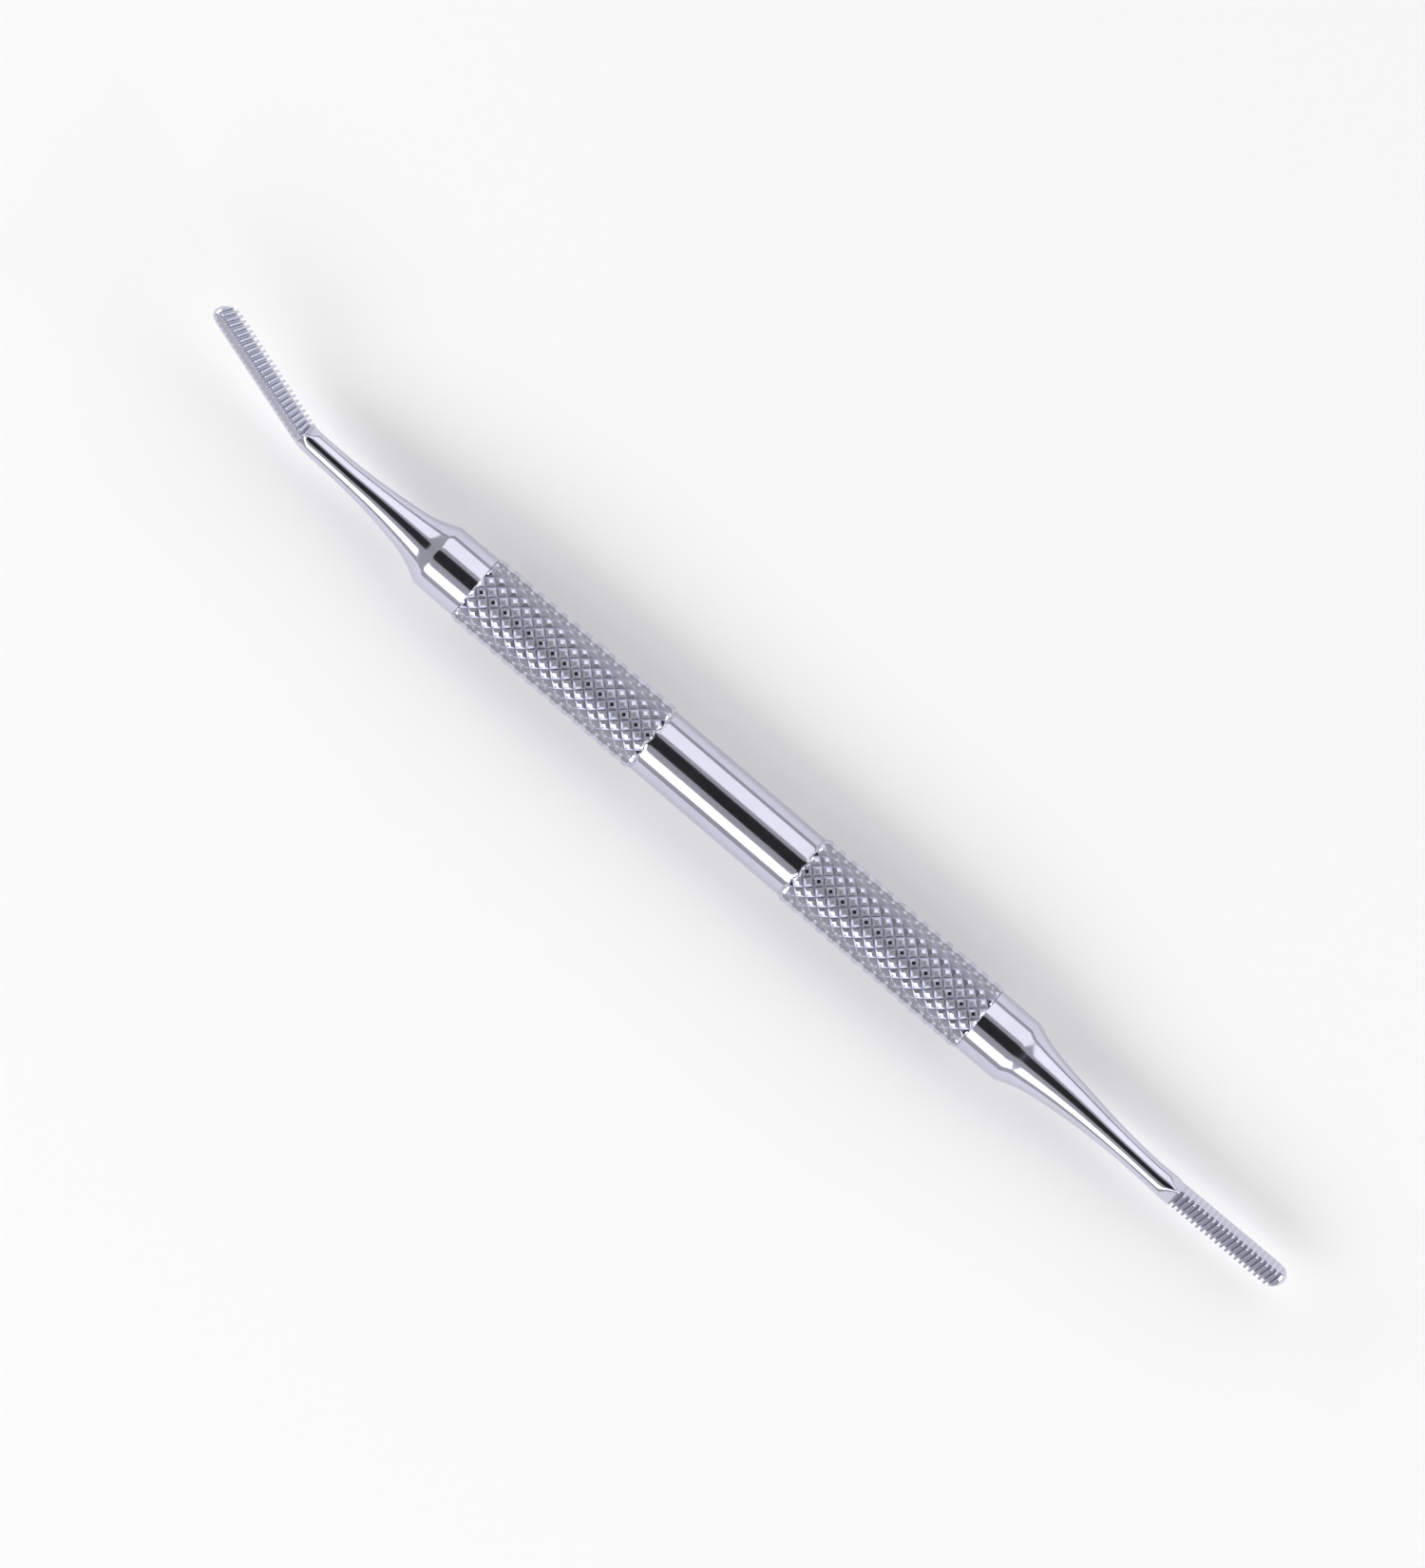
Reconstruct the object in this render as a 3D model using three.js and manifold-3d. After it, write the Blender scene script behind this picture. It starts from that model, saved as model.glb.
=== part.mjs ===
// Double-ended clay modeling tool: a hollow knurled steel handle with a tapered
// cone pressed into each end and a toothed rasp tip seated in each cone.
//
// Frame: millimetres, +Z up. The handle's axis runs along X, the straight tip at
// +X and the angled tip at -X. The tool lies on its knurled handle, so z = 0 is
// the surface that it lies on. The origin is the middle of the bounding box's
// underside.
//
// Each end is drawn in its own frame, whose +X runs outward along the handle from
// mid-length. The teeth face local +Z before the roll about X is applied.

import * as THREE from 'three';
import { mergeVertices } from 'three/addons/utils/BufferGeometryUtils.js';
import Module from 'manifold-3d';

const wasm = await Module();
wasm.setup();

// ---------------------------------------------------------------- dimensions
const SIDES = 24;             // flats round every turned piece; one faces down

// handle tube
const KNURL_D = 8.0;          // over the knurl
const SMOOTH_D = 7.5;         // centre band and the two collars
const TUBE_BORE_D = 5.5;
const TUBE_HALF = 33.85;      // half the tube's length
const KNURL_INNER = 9.9;      // where each knurled zone starts, from mid-length
const KNURL_RAMP = 0.5;       // run-out of the rolled knurl at its inner end
const EDGE_BREAK = 0.12;      // chamfer on the tube's outer ends

// end cones
const FACE_GAP = 0.02;        // between faces that butt, and round each press fit
const SPIGOT_LEN = 6.0;       // inside the tube
const COLLAR_END = 38.95;     // shoulder, from mid-length
const NOSE = 50.5;            // where cone and tip meet, from mid-length
const SOCKET_D = 1.84;        // blind hole for the tang
const SOCKET_BOTTOM = 33.2;   // end of the hole's full diameter, from mid-length

// rasp tips
const TANG_D = 1.8;
const TANG_START = 33.7;
const NECK_D = 2.72;
const PAD_W = 2.3;            // across the ground sides
const PAD_TOP = 0.9;          // tooth crests above the pad's centre plane
const PAD_BACK = 0.8;         // flat back below the pad's centre plane
const TOOTH_PITCH = 0.64;
const TOOTH_COUNT_ANGLED = 24;
const TOOTH_COUNT_STRAIGHT = 21;
const TOOTH_LAND = 0.26;      // crest of each tooth, along the pad
const TOOTH_DEPTH = 0.6;
const GULLET_FLOOR = 0.26;    // flat at the bottom of each gullet
const RAMP_LEN = 2.2;         // ground run-in from round neck to flat pad
const PAD_TAIL_ANGLED = 0.45; // plain metal past the last gullet
const PAD_TAIL_STRAIGHT = 0.71;
const SKEW_FROM = 0.2;        // the rows' lean begins this far before the pad
const SKEW_RUN_IN = 1.7;      // and grows to its full amount over this length
const SKEW_ANGLED = [7.3, 24.0];  // lean of the tooth rows from square, degrees, at the pad's start and end
const SKEW_STRAIGHT = [8.5, 8.5];
const NOSE_R = 1.5;           // round end of the pad
const BACK_SWEEP = 2.6;       // length over which the back curves up to the end

// roll about the handle of the toothed side, from straight up
const ROLL_ANGLED = THREE.MathUtils.degToRad(45);
const ROLL_STRAIGHT = THREE.MathUtils.degToRad(42);

// Flare from the collar to the nose: [distance from mid-length, radius].
const FLARE_ANGLED = [
  [39.2, 3.62], [39.8, 3.3], [40.8, 2.89], [41.7, 2.6], [42.7, 2.38], [43.7, 2.19],
  [44.7, 2.05], [45.6, 1.93], [46.6, 1.81], [47.6, 1.72], [48.5, 1.63], [49.5, 1.55], [NOSE, 1.48],
];
const FLARE_STRAIGHT = [
  [39.2, 3.66], [39.8, 3.38], [40.8, 3.05], [41.7, 2.78], [42.7, 2.58], [43.7, 2.41],
  [44.7, 2.27], [45.6, 2.14], [46.6, 2.04], [47.6, 1.93], [48.5, 1.82], [49.5, 1.72], [NOSE, 1.63],
];
// Neck from the nose to the pad: [distance, radius].
const NECK_ANGLED = [[NOSE, 1.48], [51.6, 1.43], [52.8, 1.39], [54.2, 1.37], [55.4, NECK_D / 2]];
const NECK_STRAIGHT = [[NOSE, 1.63], [51.5, 1.57], [52.6, 1.49], [54.2, 1.43], [56.0, 1.38]];

// ------------------------------------------------------------------- helpers
// Radius of the corners of a SIDES-gon whose flats stand at r from its axis.
const corner = (r) => r / Math.cos(Math.PI / SIDES);

// A closed shell with shared corners, no slivers of zero size, faces outward.
function closedShell(geometry) {
  const g = geometry.clone();
  g.deleteAttribute('normal');
  g.deleteAttribute('uv');
  const m = mergeVertices(g, 1e-5);
  const pos = m.attributes.position.array;
  const idx = m.index.array;
  let tri = [];
  for (let i = 0; i < idx.length; i += 3) {
    const [a, b, c] = [idx[i], idx[i + 1], idx[i + 2]];
    if (a !== b && b !== c && c !== a) tri.push(a, b, c);
  }
  let volume = 0;
  for (let i = 0; i < tri.length; i += 3) {
    const [a, b, c] = [tri[i] * 3, tri[i + 1] * 3, tri[i + 2] * 3];
    volume += pos[a] * (pos[b + 1] * pos[c + 2] - pos[b + 2] * pos[c + 1])
      - pos[a + 1] * (pos[b] * pos[c + 2] - pos[b + 2] * pos[c])
      + pos[a + 2] * (pos[b] * pos[c + 1] - pos[b + 1] * pos[c]);
  }
  if (volume < 0) {
    const flipped = [];
    for (let i = 0; i < tri.length; i += 3) flipped.push(tri[i], tri[i + 2], tri[i + 1]);
    tri = flipped;
  }
  return { pos: new Float32Array(pos), tri: new Uint32Array(tri) };
}

function solid(geometry) {
  const { pos, tri } = closedShell(geometry);
  return new wasm.Manifold(new wasm.Mesh({ numProp: 3, vertProperties: pos, triVerts: tri }));
}

function geometryOf(manifold) {
  const mesh = manifold.getMesh();
  const g = new THREE.BufferGeometry();
  const p = new Float32Array(mesh.numVert * 3);
  for (let i = 0; i < mesh.numVert; i++) {
    for (let k = 0; k < 3; k++) p[i * 3 + k] = mesh.vertProperties[i * mesh.numProp + k];
  }
  g.setAttribute('position', new THREE.BufferAttribute(p, 3));
  g.setIndex(new THREE.BufferAttribute(new Uint32Array(mesh.triVerts), 1));
  return g;
}

// A piece turned about X from [x, radius] points, a flat facing down.
function turned(profile) {
  const pts = profile.map(([x, r]) => new THREE.Vector2(r === 0 ? 0 : corner(r), x));
  const g = new THREE.LatheGeometry(pts, SIDES, Math.PI / SIDES);
  g.rotateZ(-Math.PI / 2);
  return geometryOf(solid(g));
}

// Move each corner of a geometry by fn(vector).
function deform(geometry, fn) {
  const p = geometry.attributes.position;
  const v = new THREE.Vector3();
  for (let i = 0; i < p.count; i++) {
    v.fromBufferAttribute(p, i);
    fn(v);
    p.setXYZ(i, v.x, v.y, v.z);
  }
  p.needsUpdate = true;
  return geometry;
}

function finish(geometry) {
  geometry.computeVertexNormals();
  return geometry;
}

function steel(color, roughness) {
  return new THREE.MeshStandardMaterial({ color, roughness, metalness: 1.0 });
}

// ------------------------------------------------------------------ the tube
const bore = TUBE_BORE_D / 2;
const kr = KNURL_D / 2;
const sr = SMOOTH_D / 2;
const half = [
  [KNURL_INNER, sr], [KNURL_INNER + KNURL_RAMP, kr],
  [TUBE_HALF - EDGE_BREAK, kr], [TUBE_HALF, kr - EDGE_BREAK], [TUBE_HALF, bore + 0.15], [TUBE_HALF - 0.15, bore],
];
const tubeProfile = [...half, ...half.map(([x, r]) => [-x, r]).reverse()];
tubeProfile.push(tubeProfile[0]);
const handleTube = new THREE.Mesh(finish(turned(tubeProfile)), steel(0xc9c9d2, 0.32));
handleTube.name = 'handle_tube';

// ------------------------------------------------------------------ each end
// A cone: spigot in the tube, collar, and the flare, with a blind socket in its
// nose. The flare leans a little to the toothed side, by lean(x).
function cone(flare, roll, lean) {
  const spigot = bore - FACE_GAP;
  const face = TUBE_HALF + FACE_GAP;
  const s = SOCKET_D / 2;
  const start = TUBE_HALF - SPIGOT_LEN;
  const profile = [
    [start, 0], [start, spigot - 0.3], [start + 0.3, spigot], [face, spigot], [face, sr - 0.08], [face + 0.08, sr],
    [COLLAR_END, sr], ...flare, [NOSE, s], [SOCKET_BOTTOM, s], [SOCKET_BOTTOM - 0.5, 0],
  ];
  const g = turned(profile);
  deform(g, (v) => {
    if (Math.hypot(v.y, v.z) < corner(s) + 0.05) return;
    const c = lean(v.x);
    v.y -= Math.sin(roll) * c;
    v.z += Math.cos(roll) * c;
  });
  return finish(g);
}

// A tip: round tang and neck, then the pad, ground flat on both sides and its
// back, with gullets cut across its face. It is cut straight, then bent.
function tip({ neck, padStart, toothCount, padTail, skew, axisAt }) {
  const padEnd = padStart + toothCount * TOOTH_PITCH + padTail;
  const tang = TANG_D / 2;
  const rod = [
    [TANG_START, 0], [TANG_START, tang - 0.25], [TANG_START + 0.4, tang],
    [NOSE + FACE_GAP, tang], [NOSE + FACE_GAP, neck[0][1]], ...neck.slice(1),
  ];
  const last = neck[neck.length - 1];
  for (let x = last[0] + 0.55; x < padStart + 0.3; x += 0.45) {
    const t = (x - last[0]) / (padStart + 0.3 - last[0]);
    rod.push([x, last[1] + (NOSE_R - last[1]) * t]);
  }
  rod.push([padStart + 0.5, NOSE_R]);
  for (let k = 0; k <= 6; k++) {
    const a = (k / 6) * (Math.PI / 2);
    rod.push([padEnd - NOSE_R * (1 - Math.sin(a)), k === 6 ? 0 : NOSE_R * Math.cos(a)]);
  }

  // side view of the pad: teeth above, flat back below, in x and z
  const side = new THREE.Shape();
  const wall = (TOOTH_PITCH - TOOTH_LAND - GULLET_FLOOR) / 2;
  side.moveTo(TANG_START - 1, -3);
  side.lineTo(TANG_START - 1, 3);
  side.lineTo(padStart - RAMP_LEN, 3);
  side.lineTo(padStart - RAMP_LEN, 1.6);
  side.lineTo(padStart, PAD_TOP);
  for (let i = 0; i < toothCount; i++) {
    const x = padStart + TOOTH_LAND / 2 + i * TOOTH_PITCH;
    side.lineTo(x, PAD_TOP);
    side.lineTo(x + wall, PAD_TOP - TOOTH_DEPTH);
    side.lineTo(x + wall + GULLET_FLOOR, PAD_TOP - TOOTH_DEPTH);
    side.lineTo(x + 2 * wall + GULLET_FLOOR, PAD_TOP);
  }
  side.lineTo(padEnd + 0.5, PAD_TOP);
  side.lineTo(padEnd + 0.5, 0);
  for (let k = 0; k <= 6; k++) {
    const a = (k / 6) * (Math.PI / 2);
    side.lineTo(padEnd + 0.2 - BACK_SWEEP * (1 - Math.cos(a)), -PAD_BACK * Math.sin(a));
  }
  side.lineTo(padStart - 0.2, -PAD_BACK);
  side.lineTo(padStart - RAMP_LEN - 0.6, -1.6);
  side.lineTo(padStart - RAMP_LEN - 0.6, -3);
  side.closePath();
  const sideBody = new THREE.ExtrudeGeometry(side, { depth: 6, bevelEnabled: false });
  sideBody.translate(0, 0, -3);
  sideBody.rotateX(Math.PI / 2);

  // plan view of the pad: its two ground sides, in x and y
  const plan = new THREE.Shape();
  plan.moveTo(TANG_START - 1, -3);
  plan.lineTo(padStart - RAMP_LEN, -3);
  plan.lineTo(padStart - RAMP_LEN, -1.6);
  plan.lineTo(padStart - 0.3, -PAD_W / 2);
  plan.lineTo(padEnd + 1, -PAD_W / 2);
  plan.lineTo(padEnd + 1, PAD_W / 2);
  plan.lineTo(padStart - 0.3, PAD_W / 2);
  plan.lineTo(padStart - RAMP_LEN, 1.6);
  plan.lineTo(padStart - RAMP_LEN, 3);
  plan.lineTo(TANG_START - 1, 3);
  plan.closePath();
  const planBody = new THREE.ExtrudeGeometry(plan, { depth: 6, bevelEnabled: false });
  planBody.translate(0, 0, -3);

  const cut = solid(turned(rod)).intersect(solid(sideBody)).intersect(solid(planBody));
  const g = geometryOf(cut);

  // lean the tooth rows, then bend the straight blank so that its axis follows axisAt(x)
  deform(g, (v) => {
    if (v.x < NOSE + FACE_GAP + 0.001 && Math.hypot(v.y, v.z) < corner(tang) + 0.05) return;
    const near = THREE.MathUtils.clamp((v.x - padStart + SKEW_FROM) / SKEW_RUN_IN, 0, 1);
    const along = THREE.MathUtils.clamp((v.x - padStart) / (padEnd - padStart), 0, 1);
    const lean = THREE.MathUtils.degToRad(skew[0] + (skew[1] - skew[0]) * along);
    const shift = near * near * (3 - 2 * near) * Math.tan(lean) * v.y;
    const { x, z, angle } = axisAt(v.x + shift);
    const tilt = v.x < NOSE + FACE_GAP + 0.001 ? 0 : angle; // the butting face stays square
    const up = v.z;
    v.x = x - Math.sin(tilt) * up;
    v.z = z + Math.cos(tilt) * up;
  });
  return finish(g);
}

// The axis of a tip past the nose: it leaves at z = lean with slope a0, and turns
// to slope a1 between bendFrom and bendTo, measured along the axis.
function bentAxis(lean, a0, a1, bendFrom, bendTo) {
  const step = 0.02;
  const table = [{ x: NOSE, z: lean, angle: a0 }];
  for (let s = NOSE; s < NOSE + 30; s += step) {
    const t = THREE.MathUtils.clamp((s + step / 2 - bendFrom) / (bendTo - bendFrom), 0, 1);
    const angle = a0 + (a1 - a0) * t * t * (3 - 2 * t);
    const p = table[table.length - 1];
    table.push({ x: p.x + Math.cos(angle) * step, z: p.z + Math.sin(angle) * step, angle });
  }
  return (s) => {
    const f = THREE.MathUtils.clamp((s - NOSE) / step, 0, table.length - 1.001);
    const i = Math.floor(f);
    const [a, b] = [table[i], table[i + 1]];
    const w = f - i;
    return { x: a.x + (b.x - a.x) * w, z: a.z + (b.z - a.z) * w, angle: a.angle + (b.angle - a.angle) * w };
  };
}

// Lean of each flare to the toothed side at x from mid-length.
const leanAngled = (x) => {
  const t = THREE.MathUtils.clamp((x - 39.5) / (NOSE - 39.5), 0, 1);
  return 0.42 * (1 - (1 - t) * (1 - t));
};
const leanStraight = (x) => {
  const t = THREE.MathUtils.clamp((x - 43) / (NOSE - 43), 0, 1);
  return 0.25 * t * t;
};

const coneAngled = new THREE.Mesh(cone(FLARE_ANGLED, ROLL_ANGLED, leanAngled), steel(0xd2d2da, 0.16));
coneAngled.name = 'end_cone_angled';
const coneStraight = new THREE.Mesh(cone(FLARE_STRAIGHT, ROLL_STRAIGHT, leanStraight), steel(0xd2d2da, 0.16));
coneStraight.name = 'end_cone_straight';

const tipAngled = new THREE.Mesh(tip({
  neck: NECK_ANGLED,
  padStart: 57.6,
  toothCount: TOOTH_COUNT_ANGLED,
  padTail: PAD_TAIL_ANGLED,
  skew: SKEW_ANGLED,
  axisAt: bentAxis(0.42, 0.03, THREE.MathUtils.degToRad(22.1), 55.8, 57.9),
}), steel(0xcfcfd8, 0.2));
tipAngled.name = 'rasp_tip_angled';
tipAngled.rotation.x = ROLL_ANGLED;

const tipStraight = new THREE.Mesh(tip({
  neck: NECK_STRAIGHT,
  padStart: 60.85,
  toothCount: TOOTH_COUNT_STRAIGHT,
  padTail: PAD_TAIL_STRAIGHT,
  skew: SKEW_STRAIGHT,
  axisAt: bentAxis(0.25, 0.055, THREE.MathUtils.degToRad(-1.1), 57.2, 59.2),
}), steel(0xcfcfd8, 0.2));
tipStraight.name = 'rasp_tip_straight';
tipStraight.rotation.x = ROLL_STRAIGHT;

// ------------------------------------------------------------------ assembly
const straightEnd = new THREE.Group();
straightEnd.add(coneStraight, tipStraight);

const angledEnd = new THREE.Group();
angledEnd.add(coneAngled, tipAngled);
angledEnd.rotation.z = Math.PI;

const tool = new THREE.Group();
tool.name = 'clay_modeling_tool';
tool.add(handleTube, straightEnd, angledEnd);
tool.updateMatrixWorld(true);

const box = new THREE.Box3().setFromObject(tool, true);
const row = new THREE.Group();
tool.position.set(-(box.min.x + box.max.x) / 2, -(box.min.y + box.max.y) / 2, -box.min.z);
row.add(tool);
row.updateMatrixWorld(true);

export default row;
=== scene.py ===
import bpy
import math
import numpy as np
from mathutils import Matrix, Vector


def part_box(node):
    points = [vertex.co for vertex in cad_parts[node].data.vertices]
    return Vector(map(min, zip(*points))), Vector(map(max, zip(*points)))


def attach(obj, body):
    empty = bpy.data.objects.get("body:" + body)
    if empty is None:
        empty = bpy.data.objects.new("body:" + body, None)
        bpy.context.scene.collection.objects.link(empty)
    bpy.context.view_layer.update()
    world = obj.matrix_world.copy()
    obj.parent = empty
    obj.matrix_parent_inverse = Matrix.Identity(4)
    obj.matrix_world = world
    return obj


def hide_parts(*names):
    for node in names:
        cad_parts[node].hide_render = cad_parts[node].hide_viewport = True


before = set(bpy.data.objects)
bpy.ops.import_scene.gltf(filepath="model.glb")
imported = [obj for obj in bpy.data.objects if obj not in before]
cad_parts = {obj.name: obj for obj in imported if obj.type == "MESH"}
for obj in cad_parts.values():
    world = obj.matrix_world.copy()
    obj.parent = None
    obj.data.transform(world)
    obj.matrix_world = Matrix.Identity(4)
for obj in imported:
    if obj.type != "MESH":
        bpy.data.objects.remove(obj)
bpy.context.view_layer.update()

# The handle's middle, in metres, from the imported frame. Piece shapes below are in
# millimetres about it: +X along the handle to the straight tip, +Z up.
_lo, _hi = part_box("handle_tube")
MID = (Vector(_lo) + Vector(_hi)) / 2
MM = 0.001

# ------------------------------------------------------------------ dimensions
KNURL_R = 4.0
SMOOTH_R = 3.75
BORE_R = 2.75
TUBE_HALF = 33.85
KNURL_INNER = 9.9
STARTS = 16             # diamonds round the handle
KNURL_PITCH = 1.60      # along the handle
KNURL_DEPTH = 0.28
COLLAR_END = 38.95
NOSE = 50.5
GAP = 0.02
SOCKET_R = 0.92
SOCKET_BOTTOM = 33.2
TANG_R = 0.9
TANG_START = 33.7
PITCH = 0.64
PAD_A = 1.15             # half the pad's width
PAD_T = 0.9
PAD_B = 0.8
ROD_R = 1.5
ROD_END = 1.8
BACK_SWEEP = 2.6
ROLL_ANGLED = math.radians(45)
ROLL_STRAIGHT = math.radians(42)

# [distance from mid-length, radius] of the flare and neck, one curve at each end
CURVE_ANGLED = [(39.05, 3.69), (39.5, 3.49), (40.0, 3.24), (41.2, 2.75), (43.5, 2.225), (46.5, 1.825), (50.5, 1.49), (54.0, 1.375), (58.0, 1.36)]
CURVE_STRAIGHT = [(39.05, 3.70), (39.5, 3.54), (40.0, 3.34), (41.2, 2.935), (43.5, 2.445), (46.5, 2.045), (50.5, 1.65), (54.0, 1.44), (58.5, 1.37)]


# --------------------------------------------------------------- mesh building
def spline(knots):
    """A natural cubic through the knots."""
    x = np.array([k[0] for k in knots]); y = np.array([k[1] for k in knots])
    n = len(x); h = np.diff(x)
    a = np.zeros((n, n)); b = np.zeros(n)
    a[0, 0] = a[-1, -1] = 1
    for i in range(1, n - 1):
        a[i, i - 1], a[i, i], a[i, i + 1] = h[i - 1], 2 * (h[i - 1] + h[i]), h[i]
        b[i] = 6 * ((y[i + 1] - y[i]) / h[i] - (y[i] - y[i - 1]) / h[i - 1])
    m = np.linalg.solve(a, b)

    def f(q):
        q = np.clip(np.asarray(q, float), x[0], x[-1])
        i = np.clip(np.searchsorted(x, q, side="right") - 1, 0, n - 2)
        t = q - x[i]; u = x[i + 1] - q
        return (m[i] * u ** 3 + m[i + 1] * t ** 3) / (6 * h[i]) + (y[i] / h[i] - m[i] * h[i] / 6) * u + (y[i + 1] / h[i] - m[i + 1] * h[i] / 6) * t

    return f


def smooth(t):
    t = np.clip(t, 0, 1)
    return t * t * (3 - 2 * t)


def shell(name, rings, start=None, end=None, ring_loop=False, tri_rows=None):
    """A closed mesh from rings of points: rings is [rows, around, 3] in mm about MID. start and end are poles that close the ends, or ring_loop joins the last ring to the first. Rows marked in tri_rows are split so that both diagonals of the 45 degree lattice lie on edges."""
    rings = np.asarray(rings, float)
    rows, cols = rings.shape[:2]
    pts = rings.reshape(-1, 3)
    idx = np.arange(rows * cols).reshape(rows, cols)
    nxt = np.roll(idx, -1, axis=1)
    last = rows if ring_loop else rows - 1
    faces = []
    for r in range(last):
        a, b = idx[r], nxt[r]
        d, c = idx[(r + 1) % rows], nxt[(r + 1) % rows]
        if tri_rows is not None and tri_rows[r] >= 0:
            even = (np.arange(cols) + tri_rows[r]) % 2 == 0
            f1 = np.where(even[:, None], np.stack([a, b, c], 1), np.stack([a, b, d], 1))
            f2 = np.where(even[:, None], np.stack([a, c, d], 1), np.stack([b, c, d], 1))
            faces.append(("t", np.concatenate([f1, f2])))
        else:
            faces.append(("q", np.stack([a, b, c, d], 1)))
    extra = []
    if start is not None:
        k = len(pts) + len(extra); extra.append(start)
        faces.append(("t", np.stack([np.full(cols, k), nxt[0], idx[0]], 1)))
    if end is not None:
        k = len(pts) + len(extra); extra.append(end)
        faces.append(("t", np.stack([np.full(cols, k), idx[-1], nxt[-1]], 1)))
    if extra:
        pts = np.concatenate([pts, np.array(extra, float)])
    # face outward
    vol = 0.0
    for kind, f in faces:
        p = pts[f]
        vol += np.einsum("ij,ij->i", p[:, 0], np.cross(p[:, 1], p[:, 2])).sum()
        if kind == "q":
            vol += np.einsum("ij,ij->i", p[:, 0], np.cross(p[:, 2], p[:, 3])).sum()
    if vol < 0:
        faces = [(k, f[:, ::-1]) for k, f in faces]
    me = bpy.data.meshes.new(name)
    loops = np.concatenate([f.ravel() for k, f in faces])
    sizes = np.concatenate([np.full(len(f), 3 if k == "t" else 4) for k, f in faces])
    me.vertices.add(len(pts))
    me.vertices.foreach_set("co", ((pts * MM) + np.array(MID)).astype(np.float32).ravel())
    me.loops.add(len(loops))
    me.loops.foreach_set("vertex_index", loops.astype(np.int32))
    me.polygons.add(len(sizes))
    starts = np.concatenate([[0], np.cumsum(sizes)[:-1]])
    me.polygons.foreach_set("loop_start", starts.astype(np.int32))
    me.update(calc_edges=True)
    me.validate()
    ob = bpy.data.objects.new(name, me)
    bpy.context.scene.collection.objects.link(ob)
    return ob


def shade(ob, degrees):
    me = ob.data
    me.polygons.foreach_set("use_smooth", np.ones(len(me.polygons), bool))
    me.set_sharp_from_angle(angle=math.radians(degrees))


def circle(n, phase=0.0):
    a = phase + np.arange(n) * 2 * math.pi / n
    return np.cos(a), np.sin(a), a


# ------------------------------------------------------------------ handle tube
def knurl_height(x, a, phase):
    """0 in the grooves to 1 on the crests of the diamonds, at x mm along and angle a round the handle."""
    u = (x - phase[0]) / KNURL_PITCH + (a - phase[1]) * STARTS / (2 * math.pi)
    v = (x - phase[0]) / KNURL_PITCH - (a - phase[1]) * STARTS / (2 * math.pi)
    hu = 1 - np.abs(2 * (u - np.floor(u)) - 1)
    hv = 1 - np.abs(2 * (v - np.floor(v)) - 1)
    return np.minimum(hu, hv)


def make_tube():
    per = 12
    cols = STARTS * per
    _, _, ang = circle(cols)
    step = KNURL_PITCH / per
    rows, parity, knurled = [], [], []   # radii per row, position, triangle parity, knurl strength

    def row(x, r, par=-1, k=0.0):
        rows.append((x, np.full(cols, r) if np.isscalar(r) else r)); parity.append(par); knurled.append(k)

    def zone(x0, x1, inner_first):
        n = int(round((x1 - x0) / step))
        for i in range(n + 1):
            x = x0 + (x1 - x0) * i / n
            lattice = (i if inner_first else n - i) * step
            h = np.minimum(knurl_height(np.full(cols, lattice), ang, (0.0, 0.0)) / 0.66, 1.0)
            # grooves run out at the inner end, and are chamfered at the outer end
            d_in = (x - x0) if inner_first else (x1 - x)
            d_out = (x1 - x) if inner_first else (x - x0)
            crest = SMOOTH_R + (KNURL_R - SMOOTH_R) * smooth(d_in / 0.55)
            depth = KNURL_DEPTH * smooth((d_in + 0.1) / 0.6)
            r = crest - depth * (1 - h)
            r = np.minimum(r, KNURL_R - 0.16 + d_out * 0.9)
            row(x, r, par=i if i < n else -1, k=1.0)

    row(TUBE_HALF, BORE_R + 0.15)
    row(TUBE_HALF - 0.15, BORE_R)
    for x in np.linspace(TUBE_HALF - 1.0, -TUBE_HALF + 1.0, 12):
        row(x, BORE_R)
    row(-TUBE_HALF + 0.15, BORE_R)
    row(-TUBE_HALF, BORE_R + 0.15)
    row(-TUBE_HALF, KNURL_R - 0.45)
    n = int(round((TUBE_HALF - KNURL_INNER) / step))
    zone(-TUBE_HALF + 0.005, -KNURL_INNER, False)
    for x in np.linspace(-KNURL_INNER + 0.15, KNURL_INNER - 0.15, 60):
        row(x, SMOOTH_R)
    zone(KNURL_INNER, TUBE_HALF - 0.005, True)
    row(TUBE_HALF, KNURL_R - 0.45)
    rings = np.zeros((len(rows), cols, 3))
    for i, (x, r) in enumerate(rows):
        rings[i, :, 0] = x
        rings[i, :, 1] = r * np.cos(ang)
        rings[i, :, 2] = r * np.sin(ang)
    ob = shell("knurled_handle", rings, ring_loop=True, tri_rows=parity)
    me = ob.data
    # lift runs from 0 in the knurl's grooves to 1 on its crests, and 0.8 off the knurl; the material paints shade
    # into the grooves by it
    lift = np.zeros(len(me.vertices), np.float32)
    lift[: rings.shape[0] * cols] = np.concatenate(
        [np.clip((r - (KNURL_R - KNURL_DEPTH)) / KNURL_DEPTH, 0, 1) if k else np.full(cols, 0.8) for (x, r), k in zip(rows, knurled)]
    )
    at = me.attributes.new("lift", "FLOAT", "POINT")
    at.data.foreach_set("value", lift)
    shade(ob, 24)
    return ob


# -------------------------------------------------------------------- end cones
def lean_angled(x):
    t = np.clip((x - 39.5) / (NOSE - 39.5), 0, 1)
    return 0.42 * (1 - (1 - t) ** 2)


def lean_straight(x):
    t = np.clip((x - 43) / (NOSE - 43), 0, 1)
    return 0.25 * t * t


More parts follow.
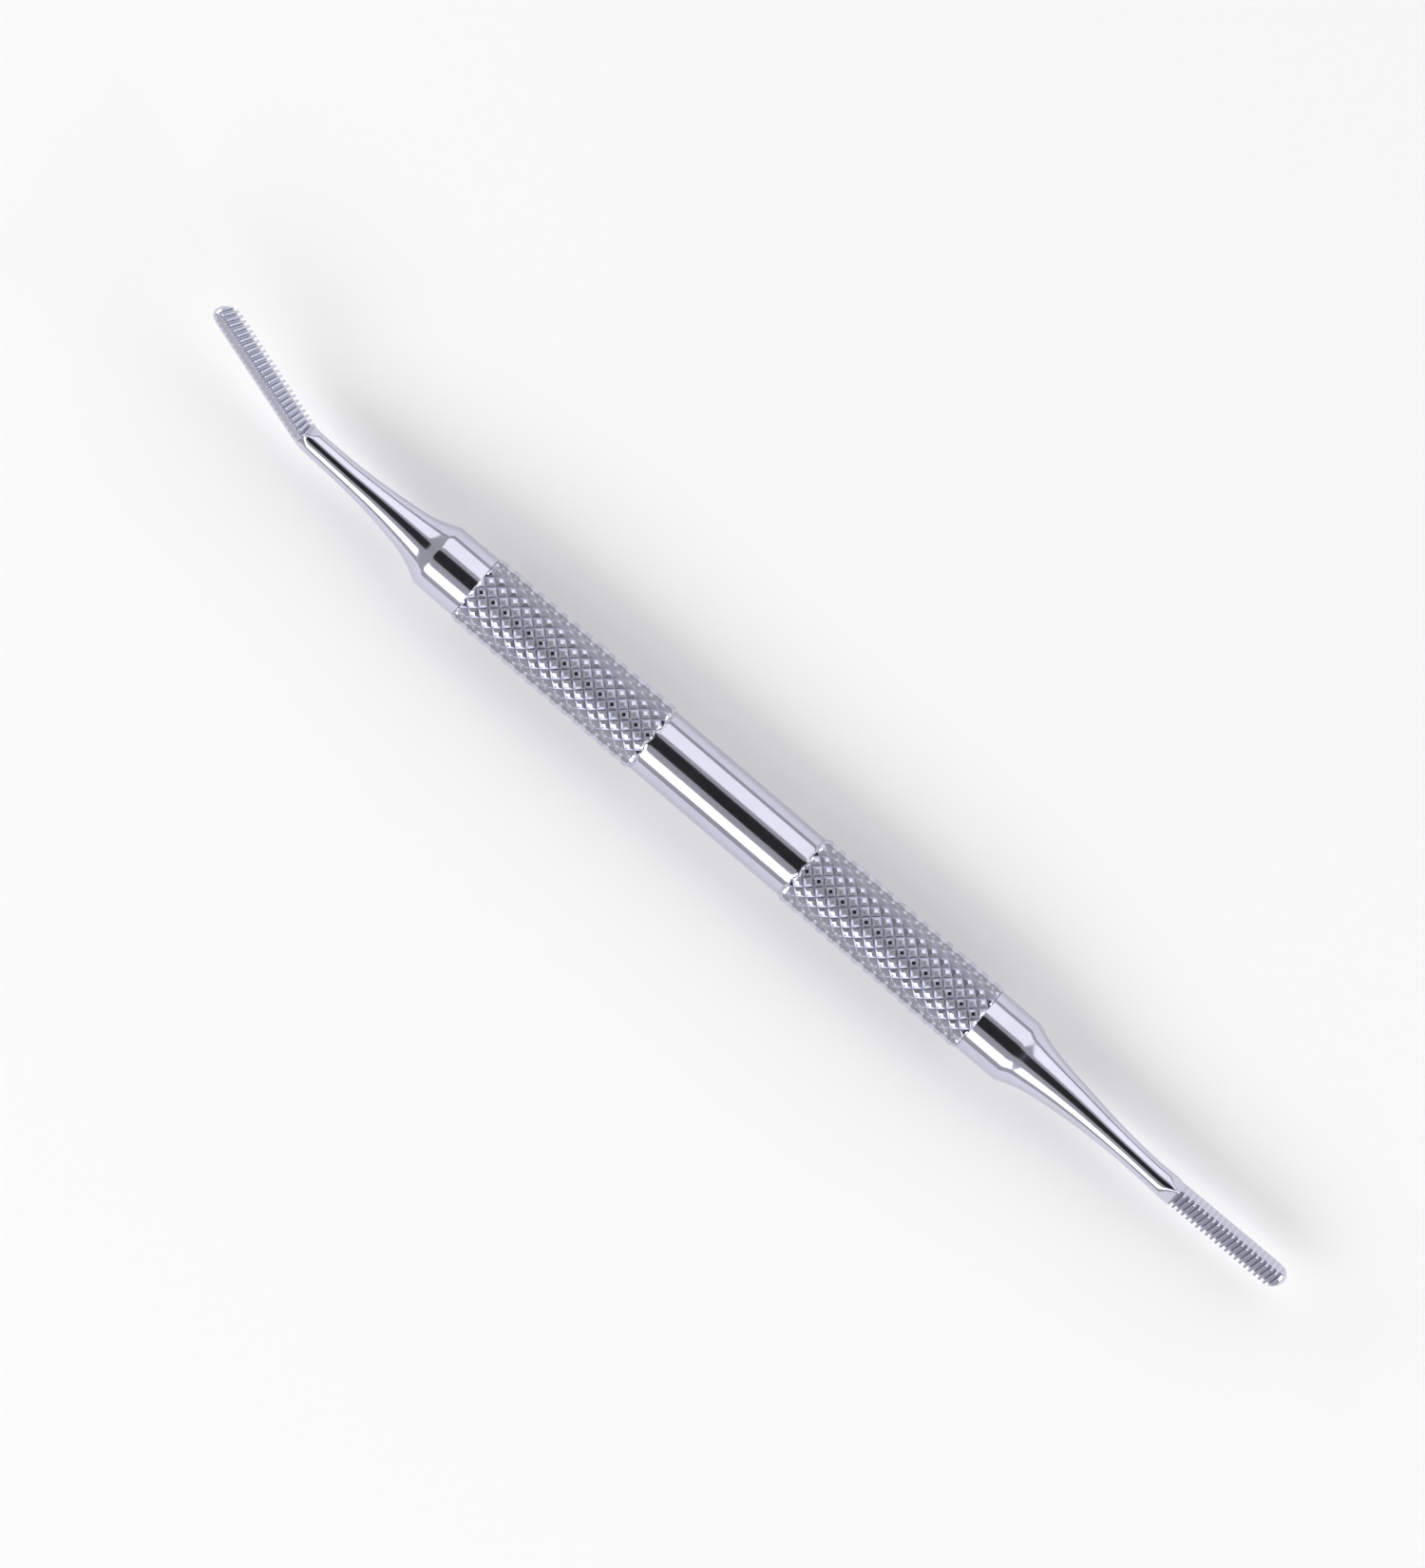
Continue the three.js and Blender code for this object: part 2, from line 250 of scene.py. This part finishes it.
def place(local, roll, angled):
    """Local frame (x outward, y across, z to the toothed side) to the row frame about MID."""
    x, y, z = local[..., 0], local[..., 1], local[..., 2]
    c, s = math.cos(roll), math.sin(roll)
    y2, z2 = y * c - z * s, y * s + z * c
    if angled:
        x, y2 = -x, -y2
    return np.stack([x, y2, z2], -1)


def make_cone(name, curve, lean, roll, angled):
    f = spline(curve)
    cols = 144
    cy, cz, _ = circle(cols)
    s = BORE_R - GAP
    face = TUBE_HALF + GAP
    start = TUBE_HALF - 6.0
    prof = [(start, 0.6), (start, s - 0.3), (start + 0.1, s - 0.12), (start + 0.3, s), (face - 1.0, s), (face, s), (face, SMOOTH_R - 0.1)]
    for k in range(1, 5):
        a = k / 4 * math.pi / 2
        prof.append((face + 0.08 * (1 - math.cos(a)), SMOOTH_R - 0.08 + 0.08 * math.sin(a)))
    prof += [(x, SMOOTH_R) for x in np.linspace(face + 0.35, COLLAR_END - 0.50, 14)]
    prof += [(COLLAR_END - 0.35, SMOOTH_R - 0.002), (COLLAR_END - 0.22, SMOOTH_R - 0.007), (COLLAR_END - 0.11, SMOOTH_R - 0.016), (COLLAR_END - 0.02, SMOOTH_R - 0.030)]
    prof += [(x, float(f(x))) for x in np.concatenate([np.linspace(39.07, 42.0, 26), np.linspace(42.15, NOSE - 0.03, 46)])]
    prof += [(NOSE - 0.008, float(f(NOSE)) - 0.003), (NOSE, float(f(NOSE)) - 0.02)]
    outer = len(prof)
    prof += [(NOSE, SOCKET_R + 0.05), (NOSE - 0.05, SOCKET_R)]
    prof += [(x, SOCKET_R) for x in np.linspace(NOSE - 1.5, SOCKET_BOTTOM, 10)]
    prof += [(SOCKET_BOTTOM - 0.45, 0.1)]
    rings = np.zeros((len(prof), cols, 3))
    for i, (x, r) in enumerate(prof):
        rings[i, :, 0] = x
        rings[i, :, 1] = r * cy
        rings[i, :, 2] = r * cz + (lean(x) if i < outer else 0.0)
    rings = place(rings, roll, angled)
    poles = place(np.array([[start, 0, 0], [SOCKET_BOTTOM - 0.5, 0, 0]], float), roll, angled)
    ob = shell(name, rings, start=poles[0], end=poles[1])
    shade(ob, 13)
    return ob


# -------------------------------------------------------------------- rasp tips
def bent_axis(lean, a0, a1, bend_from, bend_to):
    step = 0.01
    s = NOSE + np.arange(0, 3000) * step
    t = np.clip((s + step / 2 - bend_from) / (bend_to - bend_from), 0, 1)
    ang = a0 + (a1 - a0) * t * t * (3 - 2 * t)
    x = NOSE + np.concatenate([[0], np.cumsum(np.cos(ang) * step)[:-1]])
    z = lean + np.concatenate([[0], np.cumsum(np.sin(ang) * step)[:-1]])
    return lambda q: (np.interp(q, s, x), np.interp(q, s, z), np.interp(q, s, ang))


# half of one tooth and gullet: [offset from the gullet's middle, height where the crests stand at 0.8]
HALF_TOOTH = [(0.0, 0.195), (0.045, 0.2), (0.088, 0.222), (0.122, 0.27), (0.142, 0.35), (0.156, 0.5), (0.168, 0.64), (0.182, 0.728), (0.2, 0.775), (0.228, 0.797), (0.27, 0.8)]


def make_tip(name, curve, pad_start, teeth, tail, skew, axis, roll, angled):
    """skew: how far the tooth rows lean from square, in degrees, at the pad's neck and at its end."""
    f = spline(curve)
    pad_end = pad_start + teeth * PITCH + tail
    # stations along the blank, with the height of the toothed face at each
    st = []
    for x in np.concatenate([np.linspace(NOSE + GAP + 0.012, pad_start - 3.0, 26), np.linspace(pad_start - 2.85, pad_start - 0.02, 30)]):
        top = PAD_T + max(0.0, (pad_start - x)) / 2.2 * (1.6 - PAD_T)
        st.append((x, top if x > pad_start - 2.2 else 9.0))
    for i in range(teeth):
        c = pad_start + (i + 0.5) * PITCH
        st += [(c - o, h + PAD_T - 0.8) for o, h in HALF_TOOTH[:0:-1]] + [(c + o, h + PAD_T - 0.8) for o, h in HALF_TOOTH]
    x_last = pad_start + teeth * PITCH - 0.05
    for t in np.linspace(0, 1, 16)[1:]:
        st.append((x_last + 0.02 + (pad_end - 0.004 - x_last - 0.02) * math.sin(t * math.pi / 2), PAD_T))
    # angles round the section, closer together at its corners
    fine = np.linspace(0, 2 * math.pi, 4001)
    dens = np.ones_like(fine)
    for deg in (45, 24.5, -24.5, 135, 155.5, 204.5):
        c = math.radians(deg) % (2 * math.pi)
        dist = np.abs((fine - c + math.pi) % (2 * math.pi) - math.pi)
        dens += 3.0 * np.exp(-(dist / 0.11) ** 2)
    cum = np.concatenate([[0], np.cumsum((dens[1:] + dens[:-1]) / 2 * np.diff(fine))])
    cols = 104
    phi = np.interp(np.arange(cols) / cols * cum[-1], cum, fine)
    cp, sp = np.cos(phi), np.sin(phi)
    power = 16 + 26 * smooth((sp + 0.35) / 0.5)

    def section(x, top):
        a = PAD_A if x > pad_start - 0.3 else PAD_A + (pad_start - 0.3 - x) / 1.9 * (1.6 - PAD_A) if x > pad_start - 2.2 else 9.0
        b = PAD_B if x > pad_start - 0.2 else PAD_B + (pad_start - 0.2 - x) / 2.6 * (1.6 - PAD_B) if x > pad_start - 2.8 else 9.0
        if x > pad_end + 0.2 - BACK_SWEEP:
            ca = 1 - (pad_end + 0.2 - x) / BACK_SWEEP
            b = PAD_B * math.sqrt(max(1 - ca * ca, 1e-4))
        rod = float(f(x))
        if x > 57.0:
            rod = float(f(57.0)) + (ROD_R - float(f(57.0))) * float(smooth((x - 57.0) / (pad_start + 0.4 - 57.0)))
        shrink = 1.0
        if x > pad_end - ROD_END:
            q = (x - (pad_end - ROD_END)) / ROD_END
            shrink = math.sqrt(max(1 - q * q, 1e-6))
            rod *= shrink
        low = min(b, rod); high = PAD_T - 0.6 if x > pad_start - 0.4 else min(top, rod)
        zc = 0.0
        if x > pad_start - 1.6:
            zc = 0.5 * (min(high, rod) - low) * float(smooth((x - (pad_start - 1.6)) / 1.2)) * shrink
        d_rod = -zc * sp + np.sqrt(np.maximum(rod * rod - (zc * cp) ** 2, 1e-9))
        big = 50.0
        d_top = np.where(sp > 1e-3, (top - zc) / np.maximum(sp, 1e-3), big)
        d_bot = np.where(sp < -1e-3, (b + zc) / np.maximum(-sp, 1e-3), big)
        d_side = a / np.maximum(np.abs(cp), 1e-3)
        inv = (1 / d_rod) ** power + (1 / np.minimum(d_top, big)) ** power + (1 / np.minimum(d_bot, big)) ** power + (1 / np.minimum(d_side, big)) ** power
        d = inv ** (-1 / power)
        return d * cp, zc + d * sp

    rings = []
    # tang, straight along the handle's axis
    for x, r in [(TANG_START, 0.35), (TANG_START, TANG_R - 0.25), (TANG_START + 0.4, TANG_R)] + [(x, TANG_R) for x in np.linspace(TANG_START + 1.5, NOSE - 0.4, 12)] + [(NOSE + GAP, TANG_R)]:
        rings.append(np.stack([np.full(cols, x), r * cp, r * sp], 1))
    # the neck's square shoulder, then neck and pad
    _, z0, _ = axis(NOSE + GAP)
    r0 = float(f(NOSE + GAP))
    rings.append(np.stack([np.full(cols, NOSE + GAP), (r0 - 0.02) * cp, z0 + (r0 - 0.02) * sp], 1))
    for x, top in st:
        y, z = section(x, top)
        fade = float(smooth((x - (pad_start - 0.2)) / 1.7))
        lean = skew[0] + (skew[1] - skew[0]) * min(max((x - pad_start) / (pad_end - pad_start), 0.0), 1.0)
        ax, az, an = axis(x + fade * math.tan(math.radians(lean)) * y)
        rings.append(np.stack([ax - np.sin(an) * z, y, az + np.cos(an) * z], 1))
    ax, az, an = axis(pad_end)
    start = place(np.array([TANG_START, 0.0, 0.0]), roll, angled)
    end = place(np.array([ax, 0.0, az]), roll, angled)
    ob = shell(name, place(np.array(rings), roll, angled), start=start, end=end)
    me = ob.data
    # how far into a gullet each point lies, for the painted shade that darkens the gullets
    xs = np.concatenate([np.zeros(16), [0.0], [s[0] for s in st]])
    tops = np.concatenate([np.full(16, PAD_T), [PAD_T], [min(s[1], PAD_T) for s in st]])
    deep = np.repeat((PAD_T - tops) / 0.6, cols)
    deep = np.concatenate([deep, [0, 0]]).astype(np.float32)[: len(me.vertices)]
    at = me.attributes.new("gullet", "FLOAT", "POINT")
    at.data.foreach_set("value", deep)
    shade(ob, 28)
    return ob


# -------------------------------------------------------------------- materials
def steel(name, color, rough, rough_spread, mark, scratch_scale=(1.0, 1.0, 1.0), bump=0.004, attr=None, painted_shade=0.0, attr_rough=0.0):
    m = bpy.data.materials.new(name)
    m.use_nodes = True
    nt = m.node_tree
    n, link = nt.nodes, nt.links
    n.clear()
    out = n.new("ShaderNodeOutputMaterial")
    b = n.new("ShaderNodeBsdfPrincipled")
    link.new(b.outputs[0], out.inputs[0])
    b.inputs["Metallic"].default_value = 1.0
    tc = n.new("ShaderNodeTexCoord")

    def mapped(scale):
        mp = n.new("ShaderNodeMapping"); mp.inputs["Scale"].default_value = scale
        link.new(tc.outputs["Object"], mp.inputs["Vector"])
        return mp.outputs["Vector"]

    def noise(scale, detail, rough_=0.55, stretch=(1, 1, 1)):
        t = n.new("ShaderNodeTexNoise"); t.inputs["Scale"].default_value = scale
        t.inputs["Detail"].default_value = detail; t.inputs["Roughness"].default_value = rough_
        link.new(mapped(stretch), t.inputs["Vector"])
        return t.outputs["Fac"]

    def ramp(fac, lo, hi, a=0.0, c=1.0):
        r = n.new("ShaderNodeMapRange"); r.inputs["From Min"].default_value = lo; r.inputs["From Max"].default_value = hi
        r.inputs["To Min"].default_value = a; r.inputs["To Max"].default_value = c
        link.new(fac, r.inputs["Value"])
        return r.outputs["Result"]

    def math_(op, a, c, clamp=False):
        k = n.new("ShaderNodeMath"); k.operation = op; k.use_clamp = clamp
        for i, v in enumerate((a, c)):
            if isinstance(v, (int, float)):
                k.inputs[i].default_value = v
            else:
                link.new(v, k.inputs[i])
        return k.outputs[0]

    cloud = noise(160.0, 5.0, 0.6)                       # soft patches, about 6 mm
    fine = noise(2600.0, 4.0, 0.6)                       # grain, under half a millimetre
    lines = noise(900.0, 3.0, 0.7, (0.08, 1.0, 1.0))     # polishing marks along the tool
    rings = noise(1500.0, 2.0, 0.6, (1.0, 0.06, 0.06))   # turning marks round it

    # colour: a little cooler or warmer from place to place
    mix = n.new("ShaderNodeMix"); mix.data_type = "RGBA"
    mix.inputs["A"].default_value = (*[c * 0.94 for c in color], 1)
    mix.inputs["B"].default_value = (*[min(1, c * 1.05) for c in color], 1)
    link.new(ramp(cloud, 0.3, 0.7), mix.inputs["Factor"])
    col = mix.outputs["Result"]
    rough_v = math_("ADD", rough, math_("MULTIPLY", math_("SUBTRACT", cloud, 0.5), rough_spread))
    rough_v = math_("ADD", rough_v, math_("MULTIPLY", math_("SUBTRACT", lines, 0.5), rough_spread * 0.8))
    rough_v = math_("ADD", rough_v, math_("MULTIPLY", math_("SUBTRACT", fine, 0.5), rough_spread * 0.5))
    # painted shade: where the attribute marks a recess, the colour is darkened (patchily, by the cloud noise) and
    # the roughness raised
    if attr:
        av = n.new("ShaderNodeAttribute"); av.attribute_name = attr; av.attribute_type = "GEOMETRY"
        level = av.outputs["Fac"]
        if attr == "lift":   # painted shade: the knurl's grooves are darkened and made rougher, the crests keep the plain colour
            low = math_("SUBTRACT", 1.0, level)
        # painted shade: the deeper into a gullet, the darker the colour
        else:
            low = level
        low = math_("MULTIPLY", low, ramp(cloud, 0.25, 0.75, 0.65, 1.0))
        dark = n.new("ShaderNodeMix"); dark.data_type = "RGBA"
        dark.inputs["B"].default_value = (*[c * (1 - painted_shade) for c in color], 1)
        link.new(col, dark.inputs["A"]); link.new(low, dark.inputs["Factor"])
        col = dark.outputs["Result"]
        rough_v = math_("ADD", rough_v, math_("MULTIPLY", low, attr_rough))
    link.new(col, b.inputs["Base Color"])
    link.new(math_("MAXIMUM", rough_v, 0.03), b.inputs["Roughness"])
    # polishing and turning marks
    h = math_("ADD", math_("MULTIPLY", lines, mark[0]), math_("MULTIPLY", rings, mark[1]))
    h = math_("ADD", h, math_("MULTIPLY", fine, mark[2]))
    bp = n.new("ShaderNodeBump"); bp.inputs["Strength"].default_value = 1.0
    bp.inputs["Distance"].default_value = bump * MM
    link.new(h, bp.inputs["Height"]); link.new(bp.outputs["Normal"], b.inputs["Normal"])
    return m


STEEL = (0.64, 0.65, 0.76)
mat_polished = steel("polished_steel", STEEL, 0.12, 0.06, (1.0, 0.25, 0.35), bump=0.0016)
# the knurl's grooves are painted up to 22 percent darker as shade
mat_knurled = steel("knurled_steel", STEEL, 0.10, 0.08, (0.5, 0.2, 0.6), bump=0.0018, attr="lift", painted_shade=0.22, attr_rough=0.10)
# the rasp's gullets are painted up to 12 percent darker as shade
mat_rasp = steel("rasp_steel", STEEL, 0.10, 0.08, (0.6, 0.6, 0.5), bump=0.0018, attr="gullet", painted_shade=0.12, attr_rough=0.12)

# ----------------------------------------------------------------------- pieces
tube = make_tube()
tube.data.materials.append(mat_knurled)
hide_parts("handle_tube"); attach(tube, "root")

cone_a = make_cone("cone_angled_end", CURVE_ANGLED, lean_angled, ROLL_ANGLED, True)
cone_s = make_cone("cone_straight_end", CURVE_STRAIGHT, lean_straight, ROLL_STRAIGHT, False)
for o, node in ((cone_a, "end_cone_angled"), (cone_s, "end_cone_straight")):
    o.data.materials.append(mat_polished)
    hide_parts(node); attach(o, "root")

tip_a = make_tip("rasp_angled_end", CURVE_ANGLED, 57.6, 24, 0.45, (7.3, 24.0), bent_axis(0.42, 0.03, math.radians(22.1), 55.8, 57.9), ROLL_ANGLED, True)
tip_s = make_tip("rasp_straight_end", CURVE_STRAIGHT, 60.85, 21, 0.71, (8.5, 8.5), bent_axis(0.25, 0.055, math.radians(-1.1), 57.2, 59.2), ROLL_STRAIGHT, False)
for o, node in ((tip_a, "rasp_tip_angled"), (tip_s, "rasp_tip_straight")):
    o.data.materials.append(mat_rasp)
    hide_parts(node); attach(o, "root")

# ----------------------------------------------------------------------- camera
THETA = math.radians(40.58)
PX = 10.3                                  # frame pixels to a millimetre at the handle
right = Vector((math.cos(THETA), math.sin(THETA), 0))
up = Vector((-math.sin(THETA), math.cos(THETA), 0))
look = MID - right * (15.5 / PX * MM) + up * (20.2 / PX * MM)
DIST = 2.4
cam_data = bpy.data.cameras.new("camera")
cam = bpy.data.objects.new("camera", cam_data)
bpy.context.scene.collection.objects.link(cam)
cam_data.sensor_width = 36.0
cam_data.lens = 36.0 * DIST / (1650 / PX * MM)
cam_data.clip_start, cam_data.clip_end = 0.01, 20
cam.matrix_world = Matrix((
    (right.x, up.x, 0, look.x),
    (right.y, up.y, 0, look.y),
    (0, 0, 1, MID.z + DIST),
    (0, 0, 0, 1),
))
bpy.context.scene.camera = cam

# ------------------------------------------------------------- floor and lights
scene = bpy.context.scene
scene.view_settings.view_transform = "Standard"
scene.view_settings.look = "None"
scene.view_settings.exposure = 0.0
scene.view_settings.gamma = 1.0

world = bpy.data.worlds.new("world")
scene.world = world
world.use_nodes = True
bg = world.node_tree.nodes["Background"]
bg.inputs["Color"].default_value = (1.0, 1.0, 1.0, 1)
bg.inputs["Strength"].default_value = 0.44


def plain(name, color, rough):
    m = bpy.data.materials.new(name)
    m.use_nodes = True
    sh = m.node_tree.nodes["Principled BSDF"]
    sh.inputs["Base Color"].default_value = (*color, 1)
    sh.inputs["Roughness"].default_value = rough
    sh.inputs["Specular IOR Level"].default_value = 0.0
    return m


def sheet(name, corners, material):
    me = bpy.data.meshes.new(name)
    me.from_pydata(corners, [], [(0, 1, 2, 3)])
    me.materials.append(material)
    ob = bpy.data.objects.new(name, me)
    scene.collection.objects.link(ob)
    return ob


S = 4.0
sheet("floor", [(-S, -S, 0), (S, -S, 0), (S, S, 0), (-S, S, 0)], plain("floor_paper", (0.93, 0.93, 0.93), 0.9))

# one plain black card overhead, where a camera and its stand keep the light off
CARD_X, CARD_Y, CARD_Z = 1.00, 0.30, 0.90
card = sheet("black_card", [MID + Vector(c) for c in ((-CARD_X, -CARD_Y, CARD_Z), (CARD_X, -CARD_Y, CARD_Z), (CARD_X, CARD_Y, CARD_Z), (-CARD_X, CARD_Y, CARD_Z))],
             plain("black_card", (0.02, 0.02, 0.02), 0.9))
card.visible_camera = False


def softbox(name, place_, width, height, radiance):
    """An even rectangular softbox facing the tool."""
    li = bpy.data.lights.new(name, "AREA")
    li.shape = "RECTANGLE"; li.size = width; li.size_y = height
    li.energy = radiance * math.pi * width * height
    ob = bpy.data.objects.new(name, li)
    scene.collection.objects.link(ob)
    ob.location = MID + Vector(place_)
    ob.rotation_euler = (-Vector(place_)).to_track_quat("-Z", "Y").to_euler()
    ob.visible_camera = False
    return ob


softbox("key", (0.0, -0.80, 0.55), 1.6, 0.50, 2.2)
softbox("fill", (0.0, 0.85, 0.62), 1.8, 0.90, 0.8)
softbox("end_left", (-1.10, 0.0, 0.30), 1.2, 0.45, 5.4)
softbox("end_right", (1.10, 0.0, 0.30), 1.2, 0.45, 5.4)
